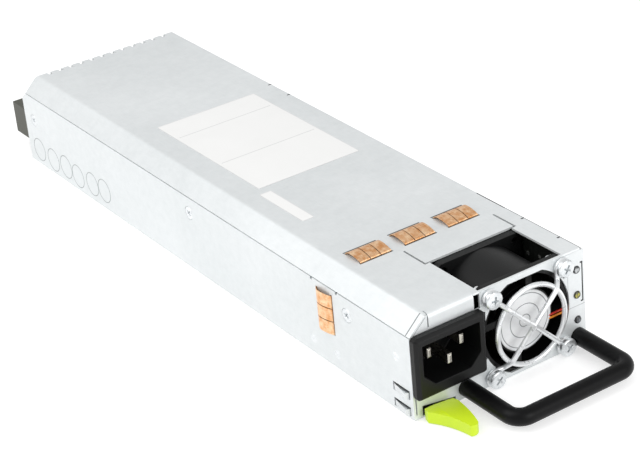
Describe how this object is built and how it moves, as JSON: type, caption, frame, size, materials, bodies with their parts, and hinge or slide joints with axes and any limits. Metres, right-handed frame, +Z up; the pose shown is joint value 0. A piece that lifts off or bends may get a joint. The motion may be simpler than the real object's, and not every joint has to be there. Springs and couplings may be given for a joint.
{
  "type": "server power supply",
  "caption": "Hot swap server power supply in a long steel casing with mains inlet, guarded fan, release latch, pull handle and blind-mate output connector.",
  "frame": {"origin": "centre of the flat underside of the casing", "axes": "+Z up, +Y along the casing towards the output connector, so the face with inlet, fan and handle looks to -Y"},
  "size_m": [0.0785, 0.3369, 0.0415],
  "materials": {
    "zinc_steel": "bright zinc plate, faint streaks",
    "zinc_screw": "zinc plated",
    "bright_steel": "bright",
    "guard_wire": "bright nickel plate",
    "copper_strip": "bright beryllium copper",
    "black_plastic": "satin moulded",
    "pin_plate": "nickel plate",
    "magnet": "dark",
    "winding": "enamelled copper",
    "circuit_board": "solder mask",
    "black_board": "black solder mask",
    "handle_black": "semi gloss powder coat",
    "green_plastic": "satin moulded",
    "lamp_clear": "clear",
    "lamp_yellow": "tinted",
    "lamp_dark": "smoked",
    "film": "clear film",
    "ceramic": "ceramic tube",
    "yellow_plastic": "moulded box",
    "package": "moulded package",
    "can_sleeve": "shrink sleeve",
    "aluminium": "mill finish",
    "ferrite": "sintered ferrite",
    "white_plastic": "moulded",
    "wire_red": "vinyl",
    "wire_yellow": "vinyl",
    "wire_black": "vinyl",
    "wire_white": "vinyl",
    "wire_green": "vinyl",
    "connector_plastic": "glass filled, satin",
    "contact_gold": "gold flash"
  },
  "bodies": {
    "chassis": {"board_screws": "zinc_screw", "board_standoffs": "zinc_screw", "bridge_rectifier": "package", "bulk_capacitor": "can_sleeve", "chassis_tray": "zinc_steel", "cover_screws": "zinc_screw", "emi_choke": "winding", "emi_clip_left": "copper_strip", "emi_clip_middle": "copper_strip", "emi_clip_right": "copper_strip", "emi_clip_side": "copper_strip", "face_rivet": "zinc_screw", "fan_bearings": "bright_steel", "fan_circuit_board": "circuit_board", "fan_frame": "black_plastic", "fan_guard": "guard_wire", "fan_plug": "white_plastic", "fan_screws": "zinc_screw", "fan_stator": "winding", "fan_wire_red": "wire_red", "fan_wire_yellow": "wire_yellow", "fuse": "ceramic", "handle": "handle_black", "inlet_earth_pin": "pin_plate", "inlet_earth_wire": "wire_green", "inlet_housing": "black_plastic", "inlet_line_pin": "pin_plate", "inlet_line_wire": "wire_black", "inlet_neutral_pin": "pin_plate", "inlet_neutral_wire": "wire_white", "insulating_sheet": "film", "latch_rivets": "zinc_screw", "latch_spring": "bright_steel", "led_board": "black_board", "led_bottom": "lamp_dark", "led_middle": "lamp_yellow", "led_top": "lamp_clear", "main_board": "circuit_board", "output_capacitors": "can_sleeve", "output_connector": "connector_plastic", "output_power_contacts": "contact_gold", "output_rectifiers": "package", "output_signal_pins": "contact_gold", "pfc_choke": "winding", "power_transistors": "package", "primary_heat_sink": "aluminium", "secondary_heat_sink": "aluminium", "top_cover": "zinc_steel", "transformer_core": "ferrite", "transformer_winding": "winding", "x_capacitor": "yellow_plastic"},
    "rotor": {"fan_rotor": "black_plastic", "fan_magnet": "magnet", "fan_shaft": "bright_steel"},
    "latch": {"latch_plate": "bright_steel", "latch_tab": "green_plastic"}
  },
  "joints": [
    {"name": "fan_spin", "type": "hinge", "parent": "chassis", "child": "rotor", "pos_m": [0.0119, -0.12645, 0.02], "axis": [0, 1, 0], "continuous": true},
    {"name": "latch_release", "type": "hinge", "parent": "chassis", "child": "latch", "pos_m": [-0.0373, -0.10325, 0.00695], "axis": [0, 0, 1], "range_deg": [0, 2.9], "stiffness_Nm_per_rad": 0.8, "springref_deg": -2.86}
  ]
}
